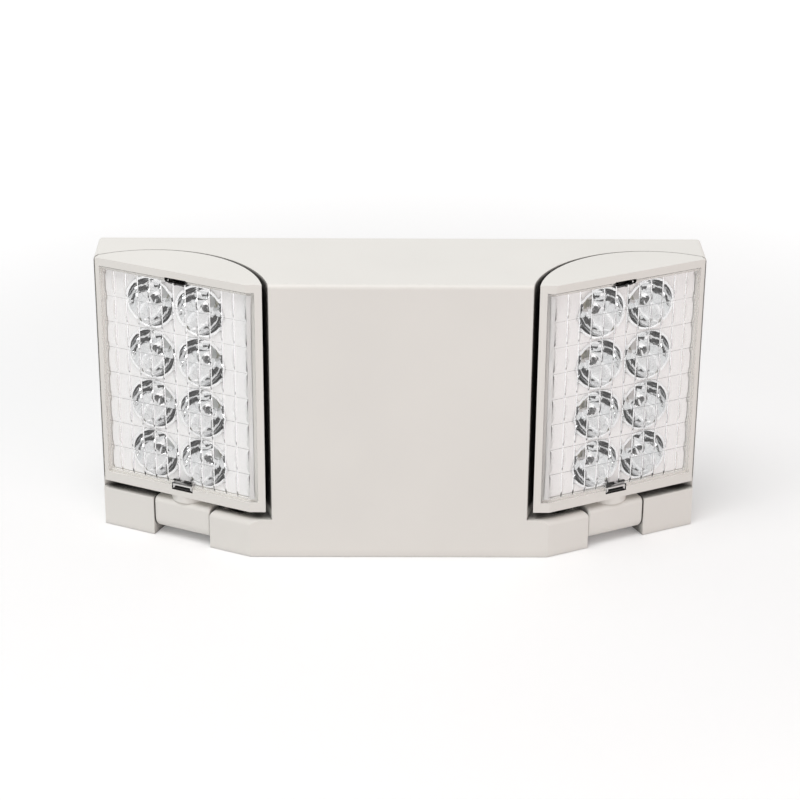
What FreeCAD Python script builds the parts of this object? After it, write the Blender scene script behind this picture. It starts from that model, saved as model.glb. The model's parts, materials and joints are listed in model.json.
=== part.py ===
import FreeCAD, Part
import os
import Sketcher

# A wall-mounted emergency exit light: a moulded housing with two lamp heads folded into curved recesses.
#
# Row frame, in millimetres: X runs along the wall to the right, Y goes into the wall, Z is up. The origin is
# on the wall plane, in the middle of the mounting holes. Heights in SIZES count from the underside.
#
# The housing's two front corners are cut back as slanted faces, called cheeks here. A cheek has its own
# frame: X ("along") from the housing's end to the front face, Y ("in") square to the cheek and into the
# housing, Z up. The left head and its knuckle are drawn in the left cheek's frame and mirrored to the right.

SIZES = {
    # housing outline
    "width": 280.0,
    "height": 136.0,
    "depth": 59.0,
    "end_depth": 25.0,
    "front_width": 138.4,
    "wall": 2.5,
    "edge_round": 2.0,
    # recess behind each head, and the ledge under it
    "recess_gap": 1.0,
    "recess_spread": 2.6,
    "recess_shift": 1.4,
    "ledge_height": 19.2,
    "ledge_hole_along": 62.0,
    "ledge_hole_length": 10.5,
    "ledge_hole_in": 4.5,
    "ledge_hole_reach": 7.5,
    "block_round": 3.5,
    # knuckle and the notch it turns in
    "knuckle_along": 27.2,
    "knuckle_width": 29.6,
    "knuckle_size": 16.4,
    "knuckle_gap": 0.3,
    "knuckle_wall": 2.2,
    "knuckle_top_wall": 3.0,
    "knuckle_cheek_wall": 4.5,
    "knuckle_top_round": 2.5,
    "knuckle_bottom_round": 5.5,
    "knuckle_end_round": 1.2,
    "knuckle_lid_thickness": 1.8,
    "knuckle_turning_gap": 0.6,
    "pivot_in": 8.5,
    "pivot_height": 11.65,
    "pivot_boss_radius": 5.5,
    "pivot_boss_length": 2.0,
    "pivot_flange_radius": 4.8,
    "pivot_flange_thickness": 1.2,
    "pivot_bush_radius": 3.4,
    "pivot_bush_bore": 2.2,
    "pivot_screw_radius": 2.0,
    "pivot_screw_head_radius": 4.2,
    "pivot_screw_head_thickness": 2.4,
    "pivot_washer_thickness": 0.8,
    "pivot_end_play": 0.1,
    "driver_slot_width": 1.0,
    "driver_slot_depth": 1.2,
    "running_clearance": 0.05,
    "fit_clearance": 0.1,
    # swivel between knuckle and head
    "swivel_along": 42.0,
    "swivel_in": 8.5,
    "swivel_boss_radius": 8.5,
    "stem_radius": 2.8,
    "stem_bore": 1.8,
    "stem_flange_radius": 4.4,
    "stem_flange_thickness": 1.4,
    "stem_nut_radius": 4.6,
    "stem_nut_thickness": 2.6,
    "swivel_washer_thickness": 0.6,
    # head shell
    "head_start": 0.9,
    "head_bottom": 23.2,
    "head_side_in": 3.44,
    "head_facet": 7.44,
    "head_bulge": 21.87,
    "head_wall": 2.2,
    # lens and the opening that it sits in
    "lens_start": 3.0,
    "lens_end_margin": 3.4,
    "lens_bottom": 28.0,
    "lens_top_margin": 3.8,
    "lens_thickness": 2.4,
    "lens_plate": 1.3,
    "lens_gap": 0.15,
    "lens_seat": 1.5,
    "lens_rest_gap": 0.1,
    "lens_lip": 1.6,
    "flute_count": 12,
    "flute_radius": 7.5,
    "row_count": 8,
    "row_radius": 36.0,
    "groove_width": 0.5,
    "groove_depth": 0.3,
    # snap slot over the lens and latch window under it
    "latch_along": 37.4,
    "latch_width": 11.0,
    "slot_height": 0.4,
    "slot_depth": 1.7,
    "slot_round": 1.1,
    "window_bottom": 26.2,
    "window_top": 29.8,
    "latch_gap": 0.6,
    "latch_bar": 0.7,
    "latch_slit_length": 4.0,
    "latch_slit_height": 0.6,
    "latch_slit_rise": 1.2,
    # reflector cups, their plate and the light board
    "cup_shift": 2.0,
    "cup_pitch_along": 25.6,
    "cup_rows": 4,
    "cup_spacing": 0.5,
    "cup_rim_width": 1.0,
    "cup_base_radius": 3.4,
    "cup_curve_radius": 19.0,
    "cup_wall": 0.6,
    "cup_flange": 0.6,
    "plate_in": 3.5,
    "plate_thickness": 1.2,
    "plate_gap": 0.3,
    "plate_notch": 2.2,
    "board_in": 16.6,
    "board_thickness": 1.5,
    "board_side_gap": 1.45,
    "board_margin": 5.0,
    "emitter_size": 3.5,
    "emitter_thickness": 1.0,
    "board_boss_radius": 3.0,
    "board_screw_radius": 1.2,
    "board_screw_length": 5.0,
    "board_screw_head_radius": 2.3,
    "board_screw_head_thickness": 1.5,
    # back plate
    "back_thickness": 3.0,
    "back_rim_height": 6.0,
    "back_rim_width": 1.8,
    "back_gap": 0.3,
    "hook_x": 60.0,
    "hook_width": 10.0,
    "hook_in": 4.0,
    "hook_length": 1.8,
    "hook_reach": 0.9,
    "hook_gap": 0.2,
    "cable_entry_radius": 11.0,
    "box_screw_spacing": 88.9,
    "wall_screw_spacing_across": 210.0,
    "wall_screw_spacing_up": 84.0,
    "mount_hole_radius": 2.4,
    # charger board and what is on it
    "charger_width": 104.0,
    "charger_bottom": 9.0,
    "charger_height": 44.0,
    "charger_thickness": 1.6,
    "charger_post_height": 8.0,
    "charger_post_radius": 3.0,
    "charger_post_inset": 5.0,
    "charger_screw_radius": 1.5,
    "charger_screw_length": 6.0,
    "charger_screw_head_radius": 2.7,
    "charger_screw_head_thickness": 1.8,
    "core_x": -31.0,
    "core_z": 32.0,
    "core_width": 28.0,
    "core_height": 24.0,
    "core_stack": 14.0,
    "core_limb": 8.0,
    "core_window_width": 5.0,
    "core_window_height": 14.0,
    "coil_gap": 0.2,
    "capacitor_x": 2.0,
    "capacitor_z": 36.0,
    "capacitor_radius": 5.0,
    "capacitor_length": 16.0,
    "terminal_x": 28.0,
    "terminal_bottom": 36.0,
    "terminal_width": 24.0,
    "terminal_height": 12.0,
    "terminal_depth": 9.0,
    "terminal_ways": 3,
    "terminal_bore": 1.8,
    "terminal_bore_depth": 8.0,
    # battery pack and its strap
    "cell_radius": 11.25,
    "cell_length": 43.0,
    "cell_count": 3,
    "battery_top_gap": 6.2,
    "cradle_thickness": 1.8,
    "cradle_height": 10.0,
    "strap_width": 14.0,
    "strap_thickness": 1.0,
    "strap_foot": 12.0,
    "strap_post_height": 10.0,
    "strap_post_radius": 4.0,
    # test button, its switch and the charge lamp, in the underside
    "button_x": -12.0,
    "button_in": 17.0,
    "button_radius": 4.0,
    "button_well_radius": 7.0,
    "button_well_depth": 1.2,
    "button_recess": 0.3,
    "button_travel": 1.2,
    "button_flange_radius": 5.2,
    "button_flange_thickness": 1.0,
    "button_stem_radius": 2.0,
    "button_stem_top": 11.9,
    "button_hole_clearance": 0.08,
    "switch_width": 8.0,
    "switch_bottom": 9.5,
    "switch_height": 8.0,
    "switch_bore_spare": 0.5,
    "lamp_x": 12.0,
    "lamp_radius": 2.5,
    "lamp_recess": 0.3,
    "lamp_flange_radius": 3.0,
    "lamp_flange_thickness": 1.0,
    "lamp_lead_width": 0.6,
    "lamp_lead_spacing": 2.54,
    "lamp_lead_top": 14.0,
}

# Places that follow from the sizes. Each may use the ones above it.
PLACES = {
    "mount_height": "sizes.height / 2",
    "slant_run": "(sizes.width - sizes.front_width) / 2",
    "slant_rise": "sizes.depth - sizes.end_depth",
    "slant_length": "sqrt(slant_run ^ 2 + slant_rise ^ 2)",
    "slant_cos": "slant_run / slant_length",
    "slant_sin": "slant_rise / slant_length",
    "bend_tan": "slant_rise / (slant_length + slant_run)",
    # the head's back is an arc over the chord from its outer side to the end of its inner facet
    "chord_end_along": "slant_length + sizes.head_facet * slant_cos",
    "chord_end_in": "sizes.head_facet * slant_sin",
    "chord_along": "chord_end_along - sizes.head_start",
    "chord_in": "chord_end_in - sizes.head_side_in",
    "chord": "sqrt(chord_along ^ 2 + chord_in ^ 2)",
    "back_radius": "(chord ^ 2 / 4 + sizes.head_bulge ^ 2) / (2 * sizes.head_bulge)",
    "back_drop": "(back_radius - sizes.head_bulge) / chord",
    "back_along": "(sizes.head_start + chord_end_along) / 2 + chord_in * back_drop",
    "back_in": "(sizes.head_side_in + chord_end_in) / 2 - chord_along * back_drop",
    "back_depth": "back_in + back_radius",
    "back_x": "-sizes.width / 2 + back_along * slant_cos + back_in * slant_sin",
    "back_y": "-sizes.end_depth - back_along * slant_sin + back_in * slant_cos",
    # centre and radius of the recess's wall
    "recess_radius": "back_radius + sizes.recess_spread",
    "recess_along": "back_along + sizes.recess_shift",
    "recess_in": "back_in + sizes.recess_gap - sizes.recess_spread",
    "recess_x": "-sizes.width / 2 + recess_along * slant_cos + recess_in * slant_sin",
    "recess_y": "-sizes.end_depth - recess_along * slant_sin + recess_in * slant_cos",
    # knuckle section and notch
    "knuckle_front": "sizes.pivot_in - sizes.knuckle_size / 2",
    "knuckle_bottom": "sizes.pivot_height - sizes.knuckle_size / 2",
    "knuckle_top": "sizes.pivot_height + sizes.knuckle_size / 2",
    "knuckle_end": "sizes.knuckle_along + sizes.knuckle_width",
    "knuckle_half": "sizes.knuckle_size / 2",
    "knuckle_reach": "(knuckle_half - sizes.knuckle_top_round) * sqrt(2) + sizes.knuckle_top_round",
    "notch_start": "sizes.knuckle_along - sizes.knuckle_gap",
    "notch_end": "knuckle_end + sizes.knuckle_gap",
    "notch_in": "sizes.pivot_in + knuckle_reach + sizes.knuckle_turning_gap",
    "bearing": "sizes.wall + sizes.pivot_boss_length",
    "bearing_start": "notch_start - bearing",
    "bearing_end": "notch_end + bearing",
    # head interior
    "head_floor": "sizes.head_bottom + sizes.head_wall",
    "throat_start": "sizes.lens_start + sizes.lens_seat",
    "throat_bottom": "sizes.lens_bottom + sizes.lens_seat",
    "lens_top": "sizes.height - sizes.lens_top_margin",
    "throat_top": "lens_top - sizes.lens_seat",
    "lens_facet": "sizes.head_facet - sizes.lens_end_margin",
    "cavity_in": "sizes.lens_thickness + sizes.lens_lip",
    "cup_pitch_up": "(throat_top - throat_bottom) / sizes.cup_rows",
    "cup_bottom": "throat_bottom + cup_pitch_up / 2",
    "cup_top": "throat_top - cup_pitch_up / 2",
    "cup_rim_radius": "(min(cup_pitch_up; sizes.cup_pitch_along) - sizes.cup_spacing) / 2",
    "cup_mouth_radius": "cup_rim_radius - sizes.cup_rim_width",
    "board_middle": "back_along - sizes.cup_shift",
    "cup_along": "board_middle - sizes.cup_pitch_along / 2",
    "board_bottom": "cup_bottom - sizes.board_margin",
    "board_top": "cup_top + sizes.board_margin",
    "board_back": "sizes.board_in + sizes.board_thickness",
    "board_arc": "sqrt((back_radius - sizes.head_wall) ^ 2 - (board_back - back_in) ^ 2)",
    "board_half": "board_arc - sizes.cup_shift - sizes.board_side_gap",
    "board_boss_rise": "sqrt(back_radius ^ 2 - sizes.cup_shift ^ 2)",
    "board_boss_end": "back_in + board_boss_rise - sizes.head_wall / 2",
    "board_boss_length": "board_boss_end - board_back",
    # inside of the back plate, and the charger board on its posts
    "back_left": "-sizes.width / 2 + sizes.wall + sizes.back_gap",
    "back_bottom": "sizes.wall + sizes.back_gap",
    "back_top": "sizes.height - sizes.wall - sizes.back_gap",
    "charger_back": "sizes.back_thickness + sizes.charger_post_height",
    "charger_face": "charger_back + sizes.charger_thickness",
    "charger_top": "sizes.charger_bottom + sizes.charger_height",
    "battery_half": "(sizes.cell_count - 1) * sizes.cell_radius",
    "battery_top": "back_top - sizes.battery_top_gap",
    "battery_bottom": "battery_top - sizes.cell_length",
    "battery_middle": "(battery_bottom + battery_top) / 2",
    "battery_in": "sizes.back_thickness + sizes.cell_radius",
    "strap_half": "battery_half + sizes.cell_radius + sizes.fit_clearance + sizes.strap_thickness",
    "strap_front": "battery_in + sizes.cell_radius + sizes.strap_thickness",
    "strap_foot_in": "sizes.back_thickness + sizes.strap_post_height",
    "strap_screw_x": "strap_half + sizes.strap_foot / 2",
}

UP = FreeCAD.Vector(0, 0, 1)
CHEEK_FRAME = (
    "placement(vector(-sizes.width / 2; -sizes.end_depth; -places.mount_height);"
    " rotation(vector(0; 0; 1); -atan2(places.slant_rise; places.slant_run)))"
)
ROW_FRAME = "placement(vector(0; 0; -places.mount_height); rotation(vector(0; 0; 1); 0))"

doc = FreeCAD.newDocument("emergency_exit_light")
pieces = []


def fill_sheet(name, cells):
    """A spreadsheet with one aliased cell for each entry."""
    sheet = doc.addObject("Spreadsheet::Sheet", name)
    for number, (alias, content) in enumerate(cells.items(), start=1):
        sheet.set(f"A{number}", str(content))
        sheet.setAlias(f"A{number}", alias)
    doc.recompute()
    return sheet


sizes = fill_sheet("sizes", SIZES)
places = fill_sheet("places", {alias: "=" + formula for alias, formula in PLACES.items()})


def value(formula):
    """The present value of a formula over the two sheets."""
    return float(places.evalExpression(str(formula)))


def row(along, depth):
    """A point of the left cheek's frame as formulas for X and Y in the row frame."""
    x = f"-sizes.width / 2 + ({along}) * places.slant_cos + ({depth}) * places.slant_sin"
    y = f"-sizes.end_depth - ({along}) * places.slant_sin + ({depth}) * places.slant_cos"
    return x, y


def facet(length, depth):
    """A point of the head's inner facet, past the bend, as formulas in the cheek's frame."""
    along = f"places.slant_length + ({length}) * places.slant_cos - ({depth}) * places.slant_sin"
    inward = f"({length}) * places.slant_sin + ({depth}) * places.slant_cos"
    return along, inward


def bend(depth):
    """The bend between a head's two front faces, set in by a depth, in the cheek's frame."""
    return f"places.slant_length - ({depth}) * places.bend_tan", depth


def back_arc_along(radius, depth, side):
    """Where a circle about the head's back centre crosses a depth, towards the end (-) or the bend (+)."""
    return f"places.back_along {side} sqrt(({radius}) ^ 2 - (({depth}) - places.back_in) ^ 2)"


def back_arc_in(radius, along):
    """How far in a circle about the head's back centre lies, at a place along the cheek."""
    return f"places.back_in + sqrt(({radius}) ^ 2 - (({along}) - places.back_along) ^ 2)"


def new_body(name, frame=ROW_FRAME):
    body = doc.addObject("PartDesign::Body", name)
    body.Label = name
    body.setExpression("Placement", frame)
    pieces.append(body)
    return body


def origin_item(body, role):
    return next(item for item in body.Origin.OriginFeatures if item.Role == role)


def sketch(body, role, offset="0", shift=("0", "0")):
    """An empty sketch on one of the body's origin planes, moved along the plane's normal by the offset."""
    item = body.newObject("Sketcher::SketchObject", f"{body.Name}_sketch")
    item.AttachmentSupport = (origin_item(body, role), [""])
    item.MapMode = "FlatFace"
    item.setExpression("AttachmentOffset.Base.x", shift[0])
    item.setExpression("AttachmentOffset.Base.y", shift[1])
    item.setExpression("AttachmentOffset.Base.z", offset)
    return item


def cheek_side_sketch(body, along):
    """A sketch in the row frame on a plane square to the left cheek: its x goes in, its y goes up."""
    item = sketch(body, "YZ_Plane")
    x, y = row(along, 0)
    turn = "rotation(vector(0; 1; 0); -atan2(places.slant_rise; places.slant_run))"
    item.setExpression("AttachmentOffset", f"placement(vector({y}; 0; {x}); {turn})")
    return item


def bind(item, kind, references, formula):
    """A constraint whose size is a formula."""
    index = item.addConstraint(Sketcher.Constraint(kind, *references, value(formula)))
    item.setExpression(f"Constraints[{index}]", str(formula))


def arc_middle(start, end, radius, side):
    """A point halfway round the short arc that bulges to the given side of the way from start to end."""
    chord = end - start
    half = chord.Length / 2
    right = FreeCAD.Vector(chord.y, -chord.x, 0).normalize()
    rise = radius - (radius**2 - half**2) ** 0.5
    return (start + end) / 2 + right * (rise if side == "right" else -rise)


def outline(item, corners):
    """A closed outline through the corners, each (x, y) or (x, y, side, radius).

    A side and radius make the edge that leaves the corner an arc, bulging to that side of the way round.
    """
    points = [FreeCAD.Vector(value(corner[0]), value(corner[1]), 0) for corner in corners]
    edges = []
    for corner, start, end in zip(corners, points, points[1:] + points[:1]):
        if len(corner) == 2:
            index = item.addGeometry(Part.LineSegment(start, end))
            edges.append((index, 1, 2))
        else:
            middle = arc_middle(start, end, value(corner[3]), corner[2])
            index = item.addGeometry(Part.Arc(start, middle, end))
            begins = item.getPoint(index, 1).isEqual(start, 1e-6)
            edges.append((index, 1, 2) if begins else (index, 2, 1))
    for (index, _, last), (following, first, _) in zip(edges, edges[1:] + edges[:1]):
        item.addConstraint(Sketcher.Constraint("Coincident", index, last, following, first))
    for (index, first, _), corner in zip(edges, corners):
        bind(item, "DistanceX", (-1, 1, index, first), corner[0])
        bind(item, "DistanceY", (-1, 1, index, first), corner[1])
        if len(corner) == 4:
            bind(item, "Radius", (index,), corner[3])


def rectangle(item, left, bottom, right, top):
    outline(item, [(left, bottom), (right, bottom), (right, top), (left, top)])


def circle(item, x, y, radius):
    shape = Part.Circle(FreeCAD.Vector(value(x), value(y), 0), UP, value(radius))
    index = item.addGeometry(shape)
    bind(item, "DistanceX", (-1, 1, index, 3), x)
    bind(item, "DistanceY", (-1, 1, index, 3), y)
    bind(item, "Radius", (index,), radius)


def extrude(body, kind, profile, length):
    """A Pad or Pocket along the sketch's normal; a Pocket must take material away."""
    before = body.Shape.Volume if kind == "Pocket" else 0.0
    feature = body.newObject(f"PartDesign::{kind}", f"{body.Name}_{kind.lower()}")
    feature.Profile = profile
    feature.Reversed = kind == "Pocket"
    feature.setExpression("Length", str(length))
    doc.recompute()
    if kind == "Pocket" and body.Shape.Volume > before - 1e-6:
        raise RuntimeError(f"{feature.Name} cuts nothing")
    return feature


def pad(body, profile, length):
    return extrude(body, "Pad", profile, length)


def pocket(body, profile, length):
    return extrude(body, "Pocket", profile, length)


def round_edges(body, radius, chosen):
    """A fillet on the edges of the body's tip that the test picks."""
    base = body.Tip
    names = [f"Edge{n}" for n, edge in enumerate(base.Shape.Edges, start=1) if chosen(edge)]
    if not names:
        raise RuntimeError(f"{body.Name} has no edge to round")
    feature = body.newObject("PartDesign::Fillet", f"{body.Name}_fillet")
    feature.Base = (base, names)
    feature.setExpression("Radius", str(radius))
    doc.recompute()
    return feature


def pattern(body, originals, axis, length, count, second=None):
    """Copies of features, spread evenly over a length along an origin axis, and along a second if given."""
    feature = body.newObject("PartDesign::LinearPattern", f"{body.Name}_pattern")
    feature.Originals = originals
    feature.Direction = (origin_item(body, axis), [""])
    feature.setExpression("Length", str(length))
    feature.setExpression("Occurrences", str(count))
    if second:
        feature.Direction2 = (origin_item(body, second[0]), [""])
        feature.setExpression("Length2", str(second[1]))
        feature.setExpression("Occurrences2", str(second[2]))
    body.Tip = feature
    doc.recompute()
    return feature


def mirror(body, originals, role="YZ_Plane"):
    feature = body.newObject("PartDesign::Mirrored", f"{body.Name}_mirror")
    feature.Originals = originals
    feature.MirrorPlane = (origin_item(body, role), [""])
    body.Tip = feature
    doc.recompute()
    return feature


def turned(body, role, offset, shift, corners):
    """A revolution about the sketch's own vertical axis, which the shift places on the plane."""
    profile = sketch(body, role, offset, shift)
    outline(profile, corners)
    feature = body.newObject("PartDesign::Revolution", f"{body.Name}_revolution")
    feature.Profile = profile
    feature.ReferenceAxis = (profile, ["V_Axis"])
    feature.Angle = 360
    doc.recompute()
    return feature


def at_height(edge, height):
    box = edge.BoundBox
    return abs(box.ZMin - height) < 1e-4 and abs(box.ZMax - height) < 1e-4


def front_cover():
    """The moulded front: cut-back cheeks, curved head recesses, ledges and the notches of the knuckles."""
    body = new_body("front_cover")
    outside = sketch(body, "XY_Plane")
    outline(
        outside,
        [
            ("-sizes.width / 2", "0"),
            ("-sizes.width / 2", "-sizes.end_depth"),
            ("-sizes.front_width / 2", "-sizes.depth"),
            ("sizes.front_width / 2", "-sizes.depth"),
            ("sizes.width / 2", "-sizes.end_depth"),
            ("sizes.width / 2", "0"),
        ],
    )
    pad(body, outside, "sizes.height")
    top = value("sizes.height")
    round_edges(
        body,
        "sizes.edge_round",
        lambda edge: at_height(edge, top) and edge.BoundBox.YMin < -1e-3,
    )
    left_half = [
        main_hollow(body),
        lower_hollow(body),
        head_recess(body),
        knuckle_notch(body),
        *pivot_bosses(body),
        *pivot_holes(body),
        ledge_hole(body),
        *hook_catches(body),
    ]
    mirror(body, left_half)
    button_and_lamp_holes(body)
    ledge = value("sizes.ledge_height")
    notch_x = value(row("places.notch_end", 0)[0])

    def block_corner(edge):
        """The upper corner of the block between a notch and the front, square to the cheek."""
        box = edge.BoundBox
        near = abs(max(-box.XMin, box.XMax) + notch_x) < 1e-3
        return at_height(edge, ledge) and near and isinstance(edge.Curve, Part.Line)

    round_edges(body, "sizes.block_round", block_corner)


def main_hollow(body):
    """The hollow behind the front face and the recess walls, open to the wall."""
    radius = "(places.recess_radius + sizes.wall)"
    side_x = "-sizes.width / 2 + sizes.wall"
    front_y = "-sizes.depth + sizes.wall"
    front_x = f"places.recess_x + sqrt({radius} ^ 2 - ({front_y} - places.recess_y) ^ 2)"
    side_y = f"places.recess_y + sqrt({radius} ^ 2 - ({side_x} - places.recess_x) ^ 2)"
    profile = sketch(body, "XY_Plane", "sizes.wall")
    outline(
        profile,
        [
            ("sizes.wall", "sizes.wall"),
            ("sizes.wall", front_y),
            (front_x, front_y, "right", radius),
            (side_x, side_y),
            (side_x, "sizes.wall"),
        ],
    )
    return pocket(body, profile, "sizes.height - 2 * sizes.wall")


def lower_hollow(body):
    """The hollow under the ledge, round the notch's own walls."""
    start = "places.notch_start - sizes.wall"
    end = "places.notch_end + sizes.wall"
    back = "places.notch_in + sizes.wall"
    side_x = "-sizes.width / 2 + sizes.wall"
    side_along = "(sizes.wall - sizes.wall * places.slant_sin) / places.slant_cos"
    front_y = "-sizes.depth + sizes.wall"
    profile = sketch(body, "XY_Plane", "sizes.wall")
    outline(
        profile,
        [
            ("-sizes.front_width / 4", "sizes.wall"),
            ("-sizes.front_width / 4", front_y),
            ("-sizes.front_width / 2 + sizes.wall * places.bend_tan", front_y),
            row(end, "sizes.wall"),
            row(end, back),
            row(start, back),
            row(start, "sizes.wall"),
            (side_x, row(side_along, "sizes.wall")[1]),
            (side_x, "sizes.wall"),
        ],
    )
    return pocket(body, profile, "sizes.ledge_height - 2 * sizes.wall")


def head_recess(body):
    """The curved recess that a folded head lies in, open at the top, the front and the end."""
    beyond = "sizes.wall"
    front_y = f"-sizes.depth - {beyond}"
    side_x = f"-sizes.width / 2 - {beyond}"
    front_x = f"places.recess_x + sqrt(places.recess_radius ^ 2 - ({front_y} - places.recess_y) ^ 2)"
    side_y = f"places.recess_y + sqrt(places.recess_radius ^ 2 - ({side_x} - places.recess_x) ^ 2)"
    profile = sketch(body, "XY_Plane", "sizes.ledge_height")
    outline(
        profile,
        [(front_x, front_y, "right", "places.recess_radius"), (side_x, side_y), (side_x, front_y)],
    )
    return pocket(body, profile, "sizes.height")


def knuckle_notch(body):
    """The notch that the knuckle turns in, open at the front, the bottom and up into the recess."""
    profile = sketch(body, "XY_Plane", "-sizes.wall")
    outline(
        profile,
        [
            row("places.notch_start", "-sizes.wall"),
            row("places.notch_end", "-sizes.wall"),
            row("places.notch_end", "places.notch_in"),
            row("places.notch_start", "places.notch_in"),
        ],
    )
    return pocket(body, profile, "sizes.ledge_height + 2 * sizes.wall")


def pivot_bosses(body):
    """Round bosses behind the notch's side walls, which make the pivots' bearings longer."""
    features = []
    for along in ("places.bearing_start", "places.notch_end + sizes.wall"):
        profile = cheek_side_sketch(body, along)
        circle(profile, "sizes.pivot_in", "sizes.pivot_height", "sizes.pivot_boss_radius")
        features.append(pad(body, profile, "sizes.pivot_boss_length"))
    return features


def pivot_holes(body):
    """Running holes for the pivot screw, in the outer wall, and the pivot bush, in the inner one."""
    features = []
    for along, radius in (
        ("places.bearing_start", "sizes.pivot_screw_radius"),
        ("places.notch_end", "sizes.pivot_bush_radius"),
    ):
        profile = cheek_side_sketch(body, along)
        circle(profile, "sizes.pivot_in", "sizes.pivot_height", f"{radius} + sizes.running_clearance")
        features.append(pocket(body, profile, "places.bearing"))
    return features


def ledge_hole(body):
    """The square hole in the ledge that the head's bottom edge half covers."""
    end = "sizes.ledge_hole_along + sizes.ledge_hole_length"
    back = "sizes.ledge_hole_in + sizes.ledge_hole_reach"
    profile = sketch(body, "XY_Plane", "sizes.ledge_height - 1.5 * sizes.wall")
    outline(
        profile,
        [
            row("sizes.ledge_hole_along", "sizes.ledge_hole_in"),
            row(end, "sizes.ledge_hole_in"),
            row(end, back),
            row("sizes.ledge_hole_along", back),
        ],
    )
    return pocket(body, profile, "2 * sizes.wall")


def hook_catches(body):
    """Small pockets inside the top and bottom walls that the back plate's hooks snap into."""
    half = "(sizes.hook_width / 2 + sizes.hook_gap)"
    front = "-sizes.hook_in - sizes.hook_length - sizes.hook_gap"
    depth = "(sizes.hook_reach + sizes.hook_gap)"
    features = []
    for start in (f"sizes.wall - {depth}", "sizes.height - sizes.wall"):
        profile = sketch(body, "XY_Plane", start)
        rectangle(
            profile,
            f"-sizes.hook_x - {half}",
            front,
            f"-sizes.hook_x + {half}",
            "-sizes.hook_in + sizes.hook_gap",
        )
        features.append(pocket(body, profile, depth))
    return features


def button_and_lamp_holes(body):
    """The dished well and hole of the test button, and the hole of the charge lamp."""
    well = sketch(body, "XY_Plane", "-sizes.wall")
    circle(well, "sizes.button_x", "-sizes.button_in", "sizes.button_well_radius")
    pocket(body, well, "sizes.wall + sizes.button_well_depth")
    holes = sketch(body, "XY_Plane", "-sizes.wall")
    hole_radius = "sizes.button_radius + sizes.button_hole_clearance"
    circle(holes, "sizes.button_x", "-sizes.button_in", hole_radius)
    circle(holes, "sizes.lamp_x", "-sizes.button_in", "sizes.lamp_radius + sizes.fit_clearance")
    pocket(body, holes, "2.5 * sizes.wall")


def back_plate():
    """The moulded plate that is screwed to the wall and carries the inner parts."""
    body = new_body("back_plate")
    plate = sketch(body, "XZ_Plane")
    rectangle(plate, "places.back_left", "places.back_bottom", "-(places.back_left)", "places.back_top")
    pad(body, plate, "sizes.back_thickness")
    rim = sketch(body, "XZ_Plane", "sizes.back_thickness")
    rectangle(rim, "places.back_left", "places.back_bottom", "-(places.back_left)", "places.back_top")
    rectangle(
        rim,
        "places.back_left + sizes.back_rim_width",
        "places.back_bottom + sizes.back_rim_width",
        "-places.back_left - sizes.back_rim_width",
        "places.back_top - sizes.back_rim_width",
    )
    pad(body, rim, "sizes.back_rim_height")
    left_half = back_plate_hooks(body) + back_plate_posts(body)
    mirror(body, left_half)
    battery_cradle(body)
    holes = sketch(body, "XZ_Plane", "-sizes.wall")
    circle(holes, "0", "places.mount_height", "sizes.cable_entry_radius")
    for side in ("-", ""):
        across = f"{side}sizes.box_screw_spacing / 2"
        circle(holes, across, "places.mount_height", "sizes.mount_hole_radius")
        for step in ("-", "+"):
            across = f"{side}sizes.wall_screw_spacing_across / 2"
            height = f"places.mount_height {step} sizes.wall_screw_spacing_up / 2"
            circle(holes, across, height, "sizes.mount_hole_radius")
    pocket(body, holes, "sizes.back_thickness + 2 * sizes.wall")


def back_plate_hooks(body):
    """Barbs on the rim's top and bottom that snap into the cover."""
    half = "sizes.hook_width / 2"
    features = []
    for start in ("places.back_bottom - sizes.back_gap - sizes.hook_reach", "places.back_top"):
        profile = sketch(body, "XY_Plane", start)
        rectangle(
            profile,
            f"-sizes.hook_x - {half}",
            "-sizes.hook_in - sizes.hook_length",
            f"-sizes.hook_x + {half}",
            "-sizes.hook_in",
        )
        features.append(pad(body, profile, "sizes.back_gap + sizes.hook_reach"))
    return features


def charger_posts():
    """The two left screw places of the charger board, as formulas for X and Z."""
    x = "-sizes.charger_width / 2 + sizes.charger_post_inset"
    low = "sizes.charger_bottom + sizes.charger_post_inset"
    return [(x, low), (x, "places.charger_top - sizes.charger_post_inset")]


def back_plate_posts(body):
    """Posts for the charger board and the battery strap, with their pilot holes."""
    features = []
    for x, z in charger_posts():
        profile = sketch(body, "XZ_Plane", "sizes.back_thickness")
        circle(profile, x, z, "sizes.charger_post_radius")
        features.append(pad(body, profile, "sizes.charger_post_height"))
        pilot = sketch(body, "XZ_Plane", "places.charger_face - sizes.charger_screw_length")
        circle(pilot, x, z, "sizes.charger_screw_radius")
        features.append(pocket(body, pilot, "sizes.charger_screw_length"))
    profile = sketch(body, "XZ_Plane", "sizes.back_thickness")
    circle(profile, "-places.strap_screw_x", "places.battery_middle", "sizes.strap_post_radius")
    features.append(pad(body, profile, "sizes.strap_post_height"))
    strap_pilot_start = "places.strap_foot_in + sizes.strap_thickness - sizes.charger_screw_length"
    pilot = sketch(body, "XZ_Plane", strap_pilot_start)
    circle(pilot, "-places.strap_screw_x", "places.battery_middle", "sizes.charger_screw_radius")
    features.append(pocket(body, pilot, "sizes.charger_screw_length"))
    return features


def battery_cradle(body):
    """Two ribs that hold the battery pack's ends."""
    half = "places.battery_half"
    gap = "sizes.fit_clearance"
    for bottom in (
        f"places.battery_bottom - {gap} - sizes.cradle_thickness",
        f"places.battery_top + {gap}",
    ):
        profile = sketch(body, "XZ_Plane", "sizes.back_thickness")
        rectangle(profile, f"-{half}", bottom, half, f"{bottom} + sizes.cradle_thickness")
        pad(body, profile, "sizes.cradle_height")


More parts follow.
